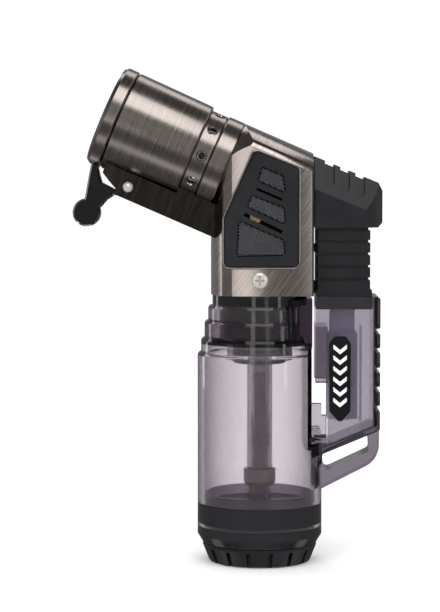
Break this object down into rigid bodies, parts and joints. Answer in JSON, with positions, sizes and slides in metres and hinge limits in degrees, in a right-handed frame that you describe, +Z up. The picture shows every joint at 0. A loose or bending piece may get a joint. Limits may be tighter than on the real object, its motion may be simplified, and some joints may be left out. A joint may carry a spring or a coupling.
{
  "type": "butane torch",
  "caption": "Pocket butane torch: clear tank, slanted metal barrel with a flip lid, side trigger in a clear guide box, and a flame dial in the base.",
  "frame": {"origin": "centre of the base on the tank's axis, at the surface that the torch stands on", "axes": "+Z up along the tank's axis; -X is the side that the barrel and its flame point to; +X is the trigger side; Y is across the torch"},
  "size_m": [0.075, 0.0304, 0.1199],
  "materials": {
    "smoke_clear": "smoke-tinted clear plastic, polished",
    "gunmetal": "brushed aluminium with a gunmetal anodised coat",
    "polished_chrome": "polished chrome",
    "black_plastic": "moulded black plastic, satin",
    "nickel_screw": "bright nickel plate",
    "brass": "turned brass",
    "steel": "bright steel",
    "burner_steel": "heat-tinted stainless steel",
    "ceramic": "white glazed ceramic",
    "rubber": "black nitrile rubber",
    "hose": "translucent silicone hose",
    "clear_tube": "frosted clear plastic tube",
    "wick_felt": "pressed white fibre",
    "piezo_plastic": "grey-lilac moulded plastic",
    "wire_red": "insulated wire",
    "dark_clear": "dark smoke-tinted clear plastic",
    "label_black": "glossy black plate"
  },
  "bodies": {
    "torch_body": {"fuel_tank": "smoke_clear", "handle_frame": "smoke_clear", "base_plug": "black_plastic", "base_plug_oring": "rubber", "standpipe": "clear_tube", "filter_coupling": "clear_tube", "feed_tube": "clear_tube", "filter_wick": "wick_felt", "neck_insert": "dark_clear", "neck_oring": "rubber", "gas_valve_body": "black_plastic", "valve_gland": "brass", "valve_outlet": "brass", "valve_spring": "steel", "rocker_pin": "steel", "refill_valve_body": "brass", "refill_spring": "steel", "piezo_body": "piezo_plastic", "piezo_element": "steel", "trigger_spring": "steel", "contact_strip": "steel", "head_housing": "gunmetal", "neck_collar": "gunmetal", "vent_ring": "gunmetal", "barrel_sleeve": "gunmetal", "barrel_fairing": "gunmetal", "burner_liner": "burner_steel", "injector_jet": "brass", "injector_plate": "burner_steel", "gas_hose": "hose", "ignition_lead": "wire_red", "contact_block": "black_plastic", "contact_blade": "brass", "head_core": "black_plastic", "panel_spacer": "brass", "burner_tube": "burner_steel", "flame_plate": "burner_steel", "heat_shield": "burner_steel", "electrode": "steel", "electrode_insulator": "ceramic", "lid_pin": "polished_chrome", "lid_spring": "steel", "grip_panel_front": "black_plastic", "grip_panel_back": "black_plastic", "label_plate_front": "label_black", "label_plate_back": "label_black", "housing_screws": "nickel_screw"},
    "trigger": {"trigger_cap": "black_plastic", "trigger_column": "black_plastic", "trigger_contact": "brass", "piezo_plunger": "piezo_plastic"},
    "rocker": {"valve_rocker": "steel"},
    "valve": {"valve_stem": "brass", "valve_seal": "rubber"},
    "dial": {"flame_dial": "black_plastic", "metering_sleeve": "brass"},
    "refill": {"refill_stem": "brass"},
    "lid": {"lid_cap": "gunmetal", "lid_liner": "burner_steel", "lid_lever": "polished_chrome"}
  },
  "joints": [
    {"name": "trigger_slide", "type": "slide", "parent": "torch_body", "child": "trigger", "axis": [0, 0, -1], "range_m": [0, 0.0038], "stiffness_N_per_m": 1500, "springref_m": -0.001, "deforming": ["trigger_spring"]},
    {"name": "rocker_pivot", "type": "hinge", "parent": "torch_body", "child": "rocker", "pos_m": [0.003, 0, 0.0724], "axis": [0, 1, 0], "range_deg": [0, 31]},
    {"name": "valve_slide", "type": "slide", "parent": "torch_body", "child": "valve", "axis": [0, 0, 1], "range_m": [0, 0.00165], "deforming": ["valve_spring"]},
    {"name": "dial_turn", "type": "hinge", "parent": "torch_body", "child": "dial", "pos_m": [0, 0, 0.002], "axis": [0, 0, 1], "range_deg": [-135, 135]},
    {"name": "refill_slide", "type": "slide", "parent": "torch_body", "child": "refill", "axis": [0, 0, 1], "range_m": [0, 0.0012], "stiffness_N_per_m": 300, "springref_m": -0.0005, "deforming": ["refill_spring"]},
    {"name": "lid_hinge", "type": "hinge", "parent": "torch_body", "child": "lid", "pos_m": [-0.03169, 0, 0.09129], "axis": [0, -1, 0], "range_deg": [0, 85], "stiffness_Nm_per_rad": 0.02, "springref_deg": -17.19}
  ],
  "couplings": [
    {"joint": "rocker_pivot", "follows": "trigger_slide", "rad_per_m": 140.54},
    {"joint": "valve_slide", "follows": "trigger_slide", "ratio": 0.42105}
  ]
}
